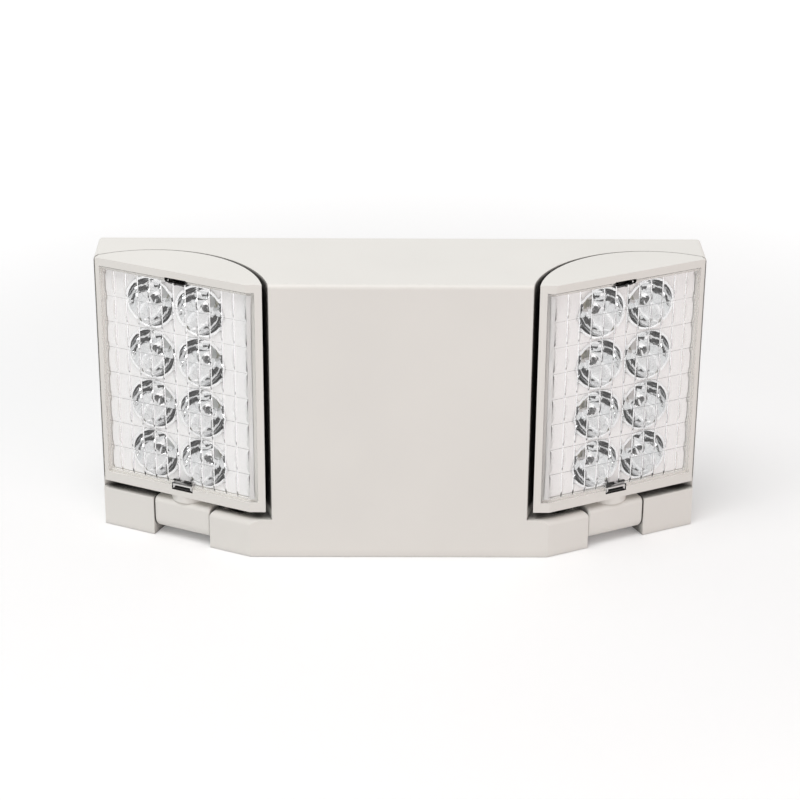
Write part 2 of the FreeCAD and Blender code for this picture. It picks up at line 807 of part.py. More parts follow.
def charger_board():
    """The charger's circuit board, with holes over its four posts."""
    body = new_body("charger_board")
    profile = sketch(body, "XZ_Plane", "places.charger_back")
    rectangle(
        profile,
        "-sizes.charger_width / 2",
        "sizes.charger_bottom",
        "sizes.charger_width / 2",
        "places.charger_top",
    )
    for x, z in charger_posts():
        for side in ("", "-"):
            circle(profile, f"{side}({x})", z, "sizes.charger_screw_radius + sizes.fit_clearance")
    pad(body, profile, "sizes.charger_thickness")


def pan_screw(body, start, x, z, length):
    """A pan-head screw along Y: the shank ends at the start and the head stands out to the front."""
    shank = sketch(body, "XZ_Plane", start)
    circle(shank, x, z, "sizes.charger_screw_radius")
    features = [pad(body, shank, length)]
    head = sketch(body, "XZ_Plane", f"{start} + {length}")
    circle(head, x, z, "sizes.charger_screw_head_radius")
    features.append(pad(body, head, "sizes.charger_screw_head_thickness"))
    slot_start = f"{start} + {length} + sizes.charger_screw_head_thickness - sizes.driver_slot_depth"
    slot = sketch(body, "XZ_Plane", slot_start)
    rectangle(
        slot,
        f"({x}) - sizes.charger_screw_head_radius",
        f"({z}) - sizes.driver_slot_width / 2",
        f"({x}) + sizes.charger_screw_head_radius",
        f"({z}) + sizes.driver_slot_width / 2",
    )
    features.append(pocket(body, slot, "2 * sizes.driver_slot_depth"))
    return features


def charger_screws():
    """Four screws that hold the charger board to its posts."""
    body = new_body("charger_screws")
    x, z = charger_posts()[0]
    start = "places.charger_face - sizes.charger_screw_length"
    features = pan_screw(body, start, x, z, "sizes.charger_screw_length")
    across = "sizes.charger_width - 2 * sizes.charger_post_inset"
    up = "sizes.charger_height - 2 * sizes.charger_post_inset"
    pattern(body, features, "X_Axis", across, 2, ("Z_Axis", up, 2))


def transformer_core():
    """The laminated core, with its two windows."""
    body = new_body("transformer_core")
    stack_start = "places.charger_face + sizes.core_window_width"
    profile = sketch(body, "XZ_Plane", stack_start)
    half = "sizes.core_width / 2"
    tall = "sizes.core_height / 2"
    rectangle(
        profile,
        f"sizes.core_x - {half}",
        f"sizes.core_z - {tall}",
        f"sizes.core_x + {half}",
        f"sizes.core_z + {tall}",
    )
    inner = "sizes.core_limb / 2"
    outer = "(sizes.core_limb / 2 + sizes.core_window_width)"
    low = "sizes.core_z - sizes.core_window_height / 2"
    high = "sizes.core_z + sizes.core_window_height / 2"
    rectangle(profile, f"sizes.core_x - {outer}", low, f"sizes.core_x - {inner}", high)
    rectangle(profile, f"sizes.core_x + {inner}", low, f"sizes.core_x + {outer}", high)
    pad(body, profile, "sizes.core_stack")


def transformer_coil():
    """The winding round the core's middle limb; its back stands on the charger board."""
    body = new_body("transformer_coil")
    gap = "sizes.coil_gap"
    front = "-places.charger_face - 2 * sizes.core_window_width - sizes.core_stack"
    limb_back = "-places.charger_face - sizes.core_window_width"
    limb_front = f"{limb_back} - sizes.core_stack"
    bottom = f"sizes.core_z - sizes.core_window_height / 2 + {gap}"
    outer = f"(sizes.core_limb / 2 + sizes.core_window_width - {gap})"
    inner = f"(sizes.core_limb / 2 + {gap})"
    profile = sketch(body, "XY_Plane", bottom)
    rectangle(
        profile, f"sizes.core_x - {outer}", front, f"sizes.core_x + {outer}", "-places.charger_face"
    )
    rectangle(
        profile,
        f"sizes.core_x - {inner}",
        f"{limb_front} - {gap}",
        f"sizes.core_x + {inner}",
        f"{limb_back} + {gap}",
    )
    pad(body, profile, f"sizes.core_window_height - 2 * {gap}")


def capacitor():
    body = new_body("capacitor")
    profile = sketch(body, "XZ_Plane", "places.charger_face")
    circle(profile, "sizes.capacitor_x", "sizes.capacitor_z", "sizes.capacitor_radius")
    pad(body, profile, "sizes.capacitor_length")


def terminal_block():
    """The supply terminals, with a round wire entry in the top for each way."""
    body = new_body("terminal_block")
    profile = sketch(body, "XZ_Plane", "places.charger_face")
    left = "sizes.terminal_x - sizes.terminal_width / 2"
    top = "sizes.terminal_bottom + sizes.terminal_height"
    rectangle(profile, left, "sizes.terminal_bottom", f"{left} + sizes.terminal_width", top)
    pad(body, profile, "sizes.terminal_depth")
    entry = sketch(body, "XY_Plane", f"{top} - sizes.terminal_bore_depth")
    pitch = "sizes.terminal_width / sizes.terminal_ways"
    middle = "-places.charger_face - sizes.terminal_depth / 2"
    circle(entry, f"{left} + {pitch} / 2", middle, "sizes.terminal_bore")
    bore = pocket(body, entry, "sizes.terminal_height")
    pattern(body, [bore], "X_Axis", f"sizes.terminal_width - {pitch}", "sizes.terminal_ways")


def battery_pack():
    """Three cells side by side in one wrap, sealed."""
    body = new_body("battery_pack")
    half = "places.battery_half"
    back = "-sizes.back_thickness"
    front = "-places.battery_in - sizes.cell_radius"
    middle = "-places.battery_in"
    profile = sketch(body, "XY_Plane", "places.battery_bottom")
    quarter = "sizes.cell_radius"
    outline(
        profile,
        [
            (f"-{half}", back),
            (half, back, "left", quarter),
            (f"{half} + {quarter}", middle, "left", quarter),
            (half, front),
            (f"-{half}", front, "left", quarter),
            (f"-{half} - {quarter}", middle, "left", quarter),
        ],
    )
    pad(body, profile, "sizes.cell_length")


def battery_strap():
    """The bent metal strap over the battery pack, with a foot on each post."""
    body = new_body("battery_strap")
    thick = "sizes.strap_thickness"
    half = "places.strap_half"
    foot_end = f"({half} + sizes.strap_foot)"
    foot_back = "-places.strap_foot_in"
    foot_front = f"-places.strap_foot_in - {thick}"
    front = "-places.strap_front"
    profile = sketch(body, "XY_Plane", "places.battery_middle - sizes.strap_width / 2")
    outline(
        profile,
        [
            (f"-{foot_end}", foot_back),
            (f"-{foot_end}", foot_front),
            (f"-{half}", foot_front),
            (f"-{half}", front),
            (half, front),
            (half, foot_front),
            (foot_end, foot_front),
            (foot_end, foot_back),
            (f"{half} - {thick}", foot_back),
            (f"{half} - {thick}", f"{front} + {thick}"),
            (f"-{half} + {thick}", f"{front} + {thick}"),
            (f"-{half} + {thick}", foot_back),
        ],
    )
    pad(body, profile, "sizes.strap_width")
    holes = sketch(body, "XZ_Plane", "places.strap_foot_in - sizes.strap_thickness")
    for side in ("-", ""):
        radius = "sizes.charger_screw_radius + sizes.fit_clearance"
        circle(holes, f"{side}places.strap_screw_x", "places.battery_middle", radius)
    pocket(body, holes, "3 * sizes.strap_thickness")


def strap_screws():
    """Two screws that hold the strap's feet to their posts."""
    body = new_body("strap_screws")
    start = "places.strap_foot_in + sizes.strap_thickness - sizes.charger_screw_length"
    x = "-places.strap_screw_x"
    features = pan_screw(body, start, x, "places.battery_middle", "sizes.charger_screw_length")
    pattern(body, features, "X_Axis", "2 * places.strap_screw_x", 2)


def test_button():
    """The push button in the underside: cap, flange that stops it, and stem into the switch."""
    body = new_body("test_button")
    shift = ("sizes.button_x", "0")
    cap_bottom = "sizes.button_recess"
    flange_top = "sizes.wall + sizes.button_flange_thickness"
    turned(
        body,
        "XZ_Plane",
        "sizes.button_in",
        shift,
        [
            ("0", cap_bottom),
            ("sizes.button_radius", cap_bottom),
            ("sizes.button_radius", "sizes.wall"),
            ("sizes.button_flange_radius", "sizes.wall"),
            ("sizes.button_flange_radius", flange_top),
            ("sizes.button_stem_radius", flange_top),
            ("sizes.button_stem_radius", "sizes.button_stem_top"),
            ("0", "sizes.button_stem_top"),
        ],
    )


def test_switch():
    """The switch on the charger board, with the bore that the button's stem slides in."""
    body = new_body("test_switch")
    profile = sketch(body, "XY_Plane", "sizes.switch_bottom")
    half = "sizes.switch_width / 2"
    rectangle(
        profile,
        f"sizes.button_x - {half}",
        f"-sizes.button_in - {half}",
        f"sizes.button_x + {half}",
        "-places.charger_face",
    )
    pad(body, profile, "sizes.switch_height")
    bore = sketch(body, "XY_Plane", "sizes.switch_bottom - sizes.switch_bore_spare")
    radius = "sizes.button_stem_radius + sizes.running_clearance"
    circle(bore, "sizes.button_x", "-sizes.button_in", radius)
    top = "sizes.button_stem_top + sizes.button_travel + 2 * sizes.switch_bore_spare"
    pocket(body, bore, f"{top} - sizes.switch_bottom")


def charge_lamp():
    """The charge lamp: a small flanged lamp in the underside, on two leads from the charger board."""
    body = new_body("charge_lamp")
    flange_top = "sizes.wall + sizes.lamp_flange_thickness"
    turned(
        body,
        "XZ_Plane",
        "sizes.button_in",
        ("sizes.lamp_x", "0"),
        [
            ("0", "sizes.lamp_recess"),
            ("sizes.lamp_radius", "sizes.lamp_recess + sizes.lamp_radius / 2"),
            ("sizes.lamp_radius", "sizes.wall"),
            ("sizes.lamp_flange_radius", "sizes.wall"),
            ("sizes.lamp_flange_radius", flange_top),
            ("0", flange_top),
        ],
    )
    wide = "sizes.lamp_lead_width"
    lead = sketch(
        body, "YZ_Plane", f"sizes.lamp_x - sizes.lamp_lead_spacing / 2 - {wide} / 2"
    )
    outer = f"-sizes.button_in - {wide} / 2"
    top = "sizes.lamp_lead_top"
    outline(
        lead,
        [
            (outer, flange_top),
            (f"{outer} + {wide}", flange_top),
            (f"{outer} + {wide}", f"{top} - {wide}"),
            ("-places.charger_face", f"{top} - {wide}"),
            ("-places.charger_face", top),
            (outer, top),
        ],
    )
    first = pad(body, lead, wide)
    pattern(body, [first], "X_Axis", "sizes.lamp_lead_spacing", 2)


def knuckle():
    """The hollow moulded knuckle: a rounded block that tilts in the notch and carries the head."""
    body = new_body("left_knuckle", CHEEK_FRAME)
    back = "places.knuckle_front + sizes.knuckle_size"
    front = "places.knuckle_front"
    low = "places.knuckle_bottom"
    high = "places.knuckle_top"
    small = "sizes.knuckle_top_round"
    large = "sizes.knuckle_bottom_round"
    section = sketch(body, "YZ_Plane", "sizes.knuckle_along")
    outline(
        section,
        [
            (f"{front} + {large}", low),
            (f"{back} - {small}", low, "right", small),
            (back, f"{low} + {small}"),
            (back, f"{high} - {small}", "right", small),
            (f"{back} - {small}", high),
            (f"{front} + {small}", high, "right", small),
            (front, f"{high} - {small}"),
            (front, f"{low} + {large}", "right", large),
        ],
    )
    pad(body, section, "sizes.knuckle_width")
    round_edges(
        body,
        "sizes.knuckle_end_round",
        lambda edge: edge.BoundBox.XLength < 1e-4,
    )
    hollow = sketch(body, "XZ_Plane", f"-({back}) - sizes.knuckle_wall")
    side = "sizes.knuckle_cheek_wall"
    rectangle(
        hollow,
        f"sizes.knuckle_along + {side}",
        f"{low} + {small}",
        f"places.knuckle_end - {side}",
        f"{high} - sizes.knuckle_top_wall",
    )
    pocket(body, hollow, "sizes.knuckle_size")
    screw_hole = sketch(body, "YZ_Plane", f"sizes.knuckle_along - {side}")
    circle(screw_hole, "sizes.pivot_in", "sizes.pivot_height", "sizes.pivot_screw_radius")
    pocket(body, screw_hole, f"2.5 * {side}")
    bush_hole = sketch(body, "YZ_Plane", f"places.knuckle_end - 1.5 * {side}")
    circle(bush_hole, "sizes.pivot_in", "sizes.pivot_height", "sizes.pivot_bush_radius")
    pocket(body, bush_hole, f"2.5 * {side}")
    stem_hole = sketch(body, "XY_Plane", f"{high} - 1.5 * sizes.knuckle_top_wall")
    radius = "sizes.stem_radius + sizes.fit_clearance"
    circle(stem_hole, "sizes.swivel_along", "sizes.swivel_in", radius)
    pocket(body, stem_hole, "2.5 * sizes.knuckle_top_wall")


def knuckle_lid():
    """The flat lid that closes the knuckle's open back."""
    body = new_body("left_knuckle_lid", CHEEK_FRAME)
    back = "places.knuckle_front + sizes.knuckle_size"
    gap = "sizes.fit_clearance"
    side = "sizes.knuckle_cheek_wall"
    profile = sketch(body, "XZ_Plane", f"-({back})")
    rectangle(
        profile,
        f"sizes.knuckle_along + {side} + {gap}",
        f"places.knuckle_bottom + sizes.knuckle_top_round + {gap}",
        f"places.knuckle_end - {side} - {gap}",
        f"places.knuckle_top - sizes.knuckle_top_wall - {gap}",
    )
    pad(body, profile, "sizes.knuckle_lid_thickness")


def pivot_screw():
    """The shoulder screw from the outer block into the knuckle."""
    body = new_body("left_pivot_screw", CHEEK_FRAME)
    washer_start = "places.bearing_start - sizes.pivot_end_play - sizes.pivot_washer_thickness"
    head_start = f"{washer_start} - sizes.pivot_screw_head_thickness"
    head = sketch(body, "YZ_Plane", head_start)
    circle(head, "sizes.pivot_in", "sizes.pivot_height", "sizes.pivot_screw_head_radius")
    pad(body, head, "sizes.pivot_screw_head_thickness")
    shank = sketch(body, "YZ_Plane", washer_start)
    circle(shank, "sizes.pivot_in", "sizes.pivot_height", "sizes.pivot_screw_radius")
    pad(
        body,
        shank,
        f"sizes.knuckle_along + sizes.knuckle_cheek_wall - ({washer_start})",
    )
    slot = sketch(body, "YZ_Plane", f"{head_start} - sizes.driver_slot_depth")
    rectangle(
        slot,
        "sizes.pivot_in - sizes.pivot_screw_head_radius",
        "sizes.pivot_height - sizes.driver_slot_width / 2",
        "sizes.pivot_in + sizes.pivot_screw_head_radius",
        "sizes.pivot_height + sizes.driver_slot_width / 2",
    )
    pocket(body, slot, "2 * sizes.driver_slot_depth")


def pivot_washer():
    """The spring washer under the pivot screw's head, which sets the tilt's friction."""
    body = new_body("left_pivot_washer", CHEEK_FRAME)
    start = "places.bearing_start - sizes.pivot_end_play - sizes.pivot_washer_thickness"
    profile = sketch(body, "YZ_Plane", start)
    circle(profile, "sizes.pivot_in", "sizes.pivot_height", "sizes.pivot_flange_radius")
    inner = "sizes.pivot_screw_radius + sizes.fit_clearance"
    circle(profile, "sizes.pivot_in", "sizes.pivot_height", inner)
    pad(body, profile, "sizes.pivot_washer_thickness")


def pivot_bush():
    """The hollow flanged bush on the knuckle's inner side, which the lamp leads pass through."""
    body = new_body("left_pivot_bush", CHEEK_FRAME)
    start = "places.knuckle_end - sizes.knuckle_cheek_wall"
    flange_start = "(places.bearing_end + sizes.pivot_end_play)"
    tube = sketch(body, "YZ_Plane", start)
    circle(tube, "sizes.pivot_in", "sizes.pivot_height", "sizes.pivot_bush_radius")
    pad(body, tube, f"{flange_start} - ({start})")
    flange = sketch(body, "YZ_Plane", flange_start)
    circle(flange, "sizes.pivot_in", "sizes.pivot_height", "sizes.pivot_flange_radius")
    pad(body, flange, "sizes.pivot_flange_thickness")
    bore = sketch(body, "YZ_Plane", f"{start} - sizes.pivot_flange_thickness")
    circle(bore, "sizes.pivot_in", "sizes.pivot_height", "sizes.pivot_bush_bore")
    pocket(body, bore, f"{flange_start} - ({start}) + 3 * sizes.pivot_flange_thickness")


def swivel_stem():
    """The hollow stem that the head swivels on: flange inside the head, nut inside the knuckle."""
    body = new_body("left_swivel_stem", CHEEK_FRAME)
    nut_top = "(places.knuckle_top - sizes.knuckle_top_wall)"
    bottom = f"{nut_top} - sizes.stem_nut_thickness"
    flange_bottom = "places.head_floor + sizes.swivel_washer_thickness"
    shaft = sketch(body, "XY_Plane", bottom)
    circle(shaft, "sizes.swivel_along", "sizes.swivel_in", "sizes.stem_radius")
    pad(body, shaft, f"{flange_bottom} - ({bottom})")
    flange = sketch(body, "XY_Plane", flange_bottom)
    circle(flange, "sizes.swivel_along", "sizes.swivel_in", "sizes.stem_flange_radius")
    pad(body, flange, "sizes.stem_flange_thickness")
    bore = sketch(body, "XY_Plane", f"{bottom} - sizes.stem_flange_thickness")
    circle(bore, "sizes.swivel_along", "sizes.swivel_in", "sizes.stem_bore")
    pocket(body, bore, f"{flange_bottom} - ({bottom}) + 3 * sizes.stem_flange_thickness")


def swivel_washer():
    """The spring washer under the stem's flange, which sets the swivel's friction."""
    body = new_body("left_swivel_washer", CHEEK_FRAME)
    profile = sketch(body, "XY_Plane", "places.head_floor")
    circle(profile, "sizes.swivel_along", "sizes.swivel_in", "sizes.stem_flange_radius")
    inner = "sizes.stem_radius + sizes.fit_clearance"
    circle(profile, "sizes.swivel_along", "sizes.swivel_in", inner)
    pad(body, profile, "sizes.swivel_washer_thickness")


def stem_nut():
    """The nut that holds the stem to the knuckle's top wall."""
    body = new_body("left_stem_nut", CHEEK_FRAME)
    start = "places.knuckle_top - sizes.knuckle_top_wall - sizes.stem_nut_thickness"
    profile = sketch(body, "XY_Plane", start)
    across = "sizes.stem_nut_radius"
    flat = "sizes.stem_nut_radius * sqrt(3) / 2"
    centre = ("sizes.swivel_along", "sizes.swivel_in")
    corners = [(1, 0), (0.5, 1), (-0.5, 1), (-1, 0), (-0.5, -1), (0.5, -1)]
    outline(
        profile,
        [(f"{centre[0]} + {i} * {across}", f"{centre[1]} + {j} * {flat}") for i, j in corners],
    )
    circle(profile, *centre, "sizes.stem_radius + sizes.fit_clearance")
    pad(body, profile, "sizes.stem_nut_thickness")


def head_shell():
    """The D-shaped lamp head: curved back, open front with a seat for the lens, boss under it."""
    body = new_body("left_head_shell", CHEEK_FRAME)
    radius = "places.back_radius"
    profile = sketch(body, "XY_Plane", "sizes.head_bottom")
    outline(
        profile,
        [
            ("sizes.head_start", "0"),
            bend("0"),
            (*facet("sizes.head_facet", "0"), "right", radius),
            ("sizes.head_start", back_arc_in(radius, "sizes.head_start")),
        ],
    )
    pad(body, profile, "sizes.height - sizes.head_bottom")
    boss = sketch(body, "XY_Plane", "places.knuckle_top")
    circle(boss, "sizes.swivel_along", "sizes.swivel_in", "sizes.swivel_boss_radius")
    pad(body, boss, "sizes.head_bottom - places.knuckle_top + sizes.head_wall / 2")
    lamp_hollow(body)
    lens_opening(body)
    board_bosses(body)
    stem_hole = sketch(body, "XY_Plane", "places.knuckle_top - sizes.head_wall")
    stem_radius = "sizes.stem_radius + sizes.running_clearance"
    circle(stem_hole, "sizes.swivel_along", "sizes.swivel_in", stem_radius)
    pocket(body, stem_hole, "places.head_floor - places.knuckle_top + 2 * sizes.head_wall")


def front_band(item, start, end_facet, near, far):
    """An outline that follows a head's two front faces between two depths."""
    outline(
        item,
        [
            (start, near),
            bend(near),
            facet(end_facet, near),
            facet(end_facet, far),
            bend(far),
            (start, far),
        ],
    )


def lamp_hollow(body):
    """The room behind the lens's seat, following the curved back."""
    near = "places.cavity_in"
    radius = "(places.back_radius - sizes.head_wall)"
    end_y = f"(-sizes.depth + {near})"
    end_x = f"places.back_x + sqrt({radius} ^ 2 - ({end_y} - places.back_y) ^ 2)"
    profile = sketch(body, "XY_Plane", "places.head_floor")
    outline(
        profile,
        [
            (back_arc_along(radius, near, "-"), near),
            bend(near),
            (*facet(f"{end_x} + sizes.front_width / 2", near), "right", radius),
        ],
    )
    pocket(body, profile, "sizes.height - sizes.head_wall - places.head_floor")


def lens_opening(body):
    """The stepped front opening: a wide step for the lens, a throat behind it, a slot and a window."""
    beyond = "-sizes.head_wall"
    step = sketch(body, "XY_Plane", "sizes.lens_bottom")
    front_band(step, "sizes.lens_start", "places.lens_facet", beyond, "sizes.lens_thickness")
    pocket(body, step, "places.lens_top - sizes.lens_bottom")
    throat = sketch(body, "XY_Plane", "places.throat_bottom")
    throat_facet = "places.lens_facet - sizes.lens_seat"
    front_band(throat, "places.throat_start", throat_facet, beyond, "places.cavity_in + sizes.lens_gap")
    pocket(body, throat, "places.throat_top - places.throat_bottom")
    for low, high in (
        ("sizes.window_bottom", "places.throat_bottom + sizes.lens_gap"),
        ("places.lens_top - sizes.slot_depth", "places.lens_top + sizes.slot_height"),
    ):
        cut = sketch(body, "XZ_Plane", "-places.cavity_in - sizes.lens_gap")
        rectangle(cut, "sizes.latch_along", low, "sizes.latch_along + sizes.latch_width", high)
        pocket(body, cut, "places.cavity_in + sizes.lens_gap + sizes.head_wall")


def board_screw_heights():
    """Heights of the light board's screws, between the rows of cups."""
    rows = round(value("sizes.cup_rows"))
    return [f"places.cup_bottom + {step + 0.5} * places.cup_pitch_up" for step in range(rows - 1)]


def board_bosses(body):
    """Bosses on the curved back that carry the light board."""
    for height in board_screw_heights():
        profile = sketch(body, "XZ_Plane", "-places.board_boss_end")
        circle(profile, "places.board_middle", height, "sizes.board_boss_radius")
        pad(body, profile, "places.board_boss_length")
        pilot_end = "sizes.board_in + sizes.board_screw_length"
        pilot = sketch(body, "XZ_Plane", f"-({pilot_end})")
        circle(pilot, "places.board_middle", height, "sizes.board_screw_radius")
        pocket(body, pilot, "sizes.board_screw_length")


def lens():
    """The clear lens: flat outside, with rows of pillows inside and a snap tab under it."""
    body = new_body("left_lens", CHEEK_FRAME)
    gap = "sizes.lens_gap"
    bottom = f"sizes.lens_bottom + {gap}"
    outside = sketch(body, "XY_Plane", bottom)
    front_band(
        outside,
        f"sizes.lens_start + {gap}",
        f"places.lens_facet - {gap}",
        "0",
        "sizes.lens_thickness - sizes.lens_rest_gap",
    )
    pad(body, outside, f"places.lens_top - sizes.lens_bottom - 2 * {gap}")
    inside = sketch(body, "XY_Plane", "places.throat_bottom")
    front_band(
        inside,
        "places.throat_start",
        "places.lens_facet - sizes.lens_seat",
        "sizes.lens_plate",
        "2 * sizes.lens_thickness",
    )
    pocket(body, inside, "places.throat_top - places.throat_bottom")
    flutes(body)
    latch_tab(body)
    slot_notch(body)


def slot_notch(body):
    """The round-cornered notch in the lens's top edge, where a blade goes in to free the lens."""
    left = "sizes.latch_along"
    right = "(sizes.latch_along + sizes.latch_width)"
    low = "(places.lens_top - sizes.slot_depth)"
    corner = "sizes.slot_round"
    profile = sketch(body, "XZ_Plane", "-2 * sizes.lens_thickness")
    outline(
        profile,
        [
            (left, "places.lens_top"),
            (left, f"{low} + {corner}", "right", corner),
            (f"{left} + {corner}", low),
            (f"{right} - {corner}", low, "right", corner),
            (right, f"{low} + {corner}"),
            (right, "places.lens_top"),
        ],
    )
    pocket(body, profile, "3 * sizes.lens_thickness")


def flutes(body):
    """Upright flutes on the inner side, crowned in level rows with a fine groove between the rows."""
    first = "places.throat_start"
    pitch = f"((places.slant_length - {first}) / sizes.flute_count)"
    height = "(places.throat_top - places.throat_bottom)"
    sunk = "sizes.lens_plate / 2"
    profile = sketch(body, "XY_Plane", "places.throat_bottom")
    count = round(value("sizes.flute_count"))
    crests = [
        (f"{first} + {count - step} * {pitch}", "sizes.lens_plate", "right", "sizes.flute_radius")
        for step in range(count)
    ]
    ends = [(first, "sizes.lens_plate"), (first, sunk), (f"{first} + {count} * {pitch}", sunk)]
    outline(profile, crests + ends)
    pad(body, profile, height)
    row = f"({height} / sizes.row_count)"
    crest = f"(sizes.lens_plate + sizes.flute_radius - sqrt(sizes.flute_radius ^ 2 - ({pitch} / 2) ^ 2))"
    valley = f"({crest} - sizes.row_radius + sqrt(sizes.row_radius ^ 2 - ({row} / 2) ^ 2))"
    beyond = f"({crest} + sizes.lens_plate)"
    crowns = sketch(body, "YZ_Plane", first)
    rows = round(value("sizes.row_count"))
    bottom = "places.throat_bottom"
    arcs = [
        (valley, f"{bottom} + {step} * {row}", "right", "sizes.row_radius")
        for step in range(rows)
    ]
    ends = [(valley, "places.throat_top"), (beyond, "places.throat_top"), (beyond, bottom)]
    outline(crowns, arcs + ends)
    pocket(body, crowns, f"{pitch} * sizes.flute_count")
    groove = sketch(body, "YZ_Plane", first)
    outline(
        groove,
        [
            (f"{valley} - sizes.groove_depth", f"{bottom} + {row}"),
            (beyond, f"{bottom} + {row} + sizes.groove_width / 2"),
            (beyond, f"{bottom} + {row} - sizes.groove_width / 2"),
        ],
    )
    cut = pocket(body, groove, f"{pitch} * sizes.flute_count")
    pattern(body, [cut], "Z_Axis", f"{height} - 2 * {row}", "sizes.row_count - 1")


def latch_tab(body):
    """The snap tab under the lens: a small loop that stands in the shell's window."""
    left = "sizes.latch_along"
    right = "sizes.latch_along + sizes.latch_width"
    gap = "sizes.latch_gap"
    opening = sketch(body, "XZ_Plane", "-sizes.lens_thickness")
    rectangle(opening, left, "sizes.window_bottom", right, "sizes.window_top")
    pocket(body, opening, "2 * sizes.lens_thickness")
    web = sketch(body, "XZ_Plane", "-sizes.lens_thickness - sizes.latch_bar")
    inset = f"({gap} + sizes.latch_bar)"
    rectangle(
        web,
        f"{left} + {gap}",
        f"sizes.window_bottom + {gap}",
        f"{right} - {gap}",
        "sizes.window_top + sizes.latch_bar",
    )
    rectangle(
        web,
        f"{left} + {inset}",
        f"sizes.window_bottom + {inset}",
        f"{right} - {inset}",
        f"sizes.window_top - {inset}",
    )
    pad(body, web, "sizes.lens_thickness + sizes.latch_bar - sizes.lens_plate / 2")
    tab = sketch(body, "XZ_Plane", "-sizes.lens_thickness")
    rectangle(
        tab,
        f"{left} + {gap}",
        f"sizes.window_bottom + {gap}",
        f"{right} - {gap}",
        f"sizes.window_top - {gap}",
    )
    rectangle(
        tab,
        f"{left} + {inset}",
        f"sizes.window_bottom + {inset}",
        f"{right} - {inset}",
        f"sizes.window_top - {inset}",
    )
    pad(body, tab, "sizes.lens_thickness - sizes.lens_gap")
    slits = sketch(body, "XZ_Plane", "-2 * sizes.lens_thickness")
    low = "(sizes.window_top + sizes.latch_slit_rise)"
    high = f"{low} + sizes.latch_slit_height"
    middle = "(sizes.latch_along + sizes.latch_width / 2)"
    for start in (
        f"{middle} - sizes.latch_bar - sizes.latch_slit_length",
        f"{middle} + sizes.latch_bar",
    ):
        rectangle(slits, start, low, f"{start} + sizes.latch_slit_length", high)
    pocket(body, slits, "3 * sizes.lens_thickness")


def cup_places():
    """Centres of the reflector cups, as formulas for places along and up the cheek."""
    rows = round(value("sizes.cup_rows"))
    return [
        (
            f"places.cup_along + {column} * sizes.cup_pitch_along",
            f"places.cup_bottom + {step} * places.cup_pitch_up",
        )
        for column in range(2)
        for step in range(rows)
    ]


def reflector_plate():
    """The white plate behind the lens, bent like the head's front, with a hole for each cup."""
    body = new_body("left_reflector_plate", CHEEK_FRAME)
    gap = "sizes.plate_gap"
    profile = sketch(body, "XY_Plane", f"places.throat_bottom + {gap}")
    front_band(
        profile,
        f"places.throat_start + {gap}",
        f"places.lens_facet - sizes.lens_seat - {gap}",
        "sizes.plate_in",
        "sizes.plate_in + sizes.plate_thickness",
    )
    pad(body, profile, f"places.throat_top - places.throat_bottom - 2 * {gap}")
    holes = sketch(body, "XZ_Plane", "-sizes.plate_in - 2 * sizes.plate_thickness")
    for along, height in cup_places():
        radius = "places.cup_mouth_radius + sizes.cup_wall + sizes.fit_clearance"
        circle(holes, along, height, radius)
    pocket(body, holes, "3 * sizes.plate_thickness")
    notch = sketch(body, "XZ_Plane", "-sizes.plate_in - 2 * sizes.plate_thickness")
    rectangle(
        notch,
        "sizes.latch_along",
        "places.throat_top - sizes.plate_notch",
        "sizes.latch_along + sizes.latch_width",
        "places.throat_top",
    )
    pocket(body, notch, "3 * sizes.plate_thickness")


def reflector_cups():
    """Eight bright reflector cups, each with a rim on the plate and its base on the light board."""
    body = new_body("left_reflector_cups", CHEEK_FRAME)
    front = "sizes.plate_in - sizes.cup_flange"
    base = "sizes.cup_base_radius"
    mouth = "places.cup_mouth_radius"
    wall = "sizes.cup_wall"
    curve = "sizes.cup_curve_radius"
    cup = turned(
        body,
        "XY_Plane",
        "places.cup_bottom",
        ("places.cup_along", "0"),
        [
            (mouth, front, "right", curve),
            (base, "sizes.board_in"),
            (f"{base} + {wall}", "sizes.board_in", "left", curve),
            (f"{mouth} + {wall}", "sizes.plate_in"),
            ("places.cup_rim_radius", "sizes.plate_in"),
            ("places.cup_rim_radius", front),
        ],
    )
    up = ("Z_Axis", "places.cup_top - places.cup_bottom", "sizes.cup_rows")
    pattern(body, [cup], "X_Axis", "sizes.cup_pitch_along", 2, up)


def light_board():
    """The board behind the cups that carries the light emitters."""
    body = new_body("left_light_board", CHEEK_FRAME)
    half = "places.board_half"
    profile = sketch(body, "XZ_Plane", "-places.board_back")
    rectangle(
        profile,
        f"places.board_middle - {half}",
        "places.board_bottom",
        f"places.board_middle + {half}",
        "places.board_top",
    )
    for height in board_screw_heights():
        radius = "sizes.board_screw_radius + sizes.fit_clearance"
        circle(profile, "places.board_middle", height, radius)
    pad(body, profile, "sizes.board_thickness")


def emitters():
    """A square light emitter on the board in the middle of each cup."""
    body = new_body("left_emitters", CHEEK_FRAME)
    half = "sizes.emitter_size / 2"
    profile = sketch(body, "XZ_Plane", "-sizes.board_in")
    rectangle(
        profile,
        f"places.cup_along - {half}",
        f"places.cup_bottom - {half}",
        f"places.cup_along + {half}",
        f"places.cup_bottom + {half}",
    )
    first = pad(body, profile, "sizes.emitter_thickness")
    up = ("Z_Axis", "places.cup_top - places.cup_bottom", "sizes.cup_rows")
    pattern(body, [first], "X_Axis", "sizes.cup_pitch_along", 2, up)


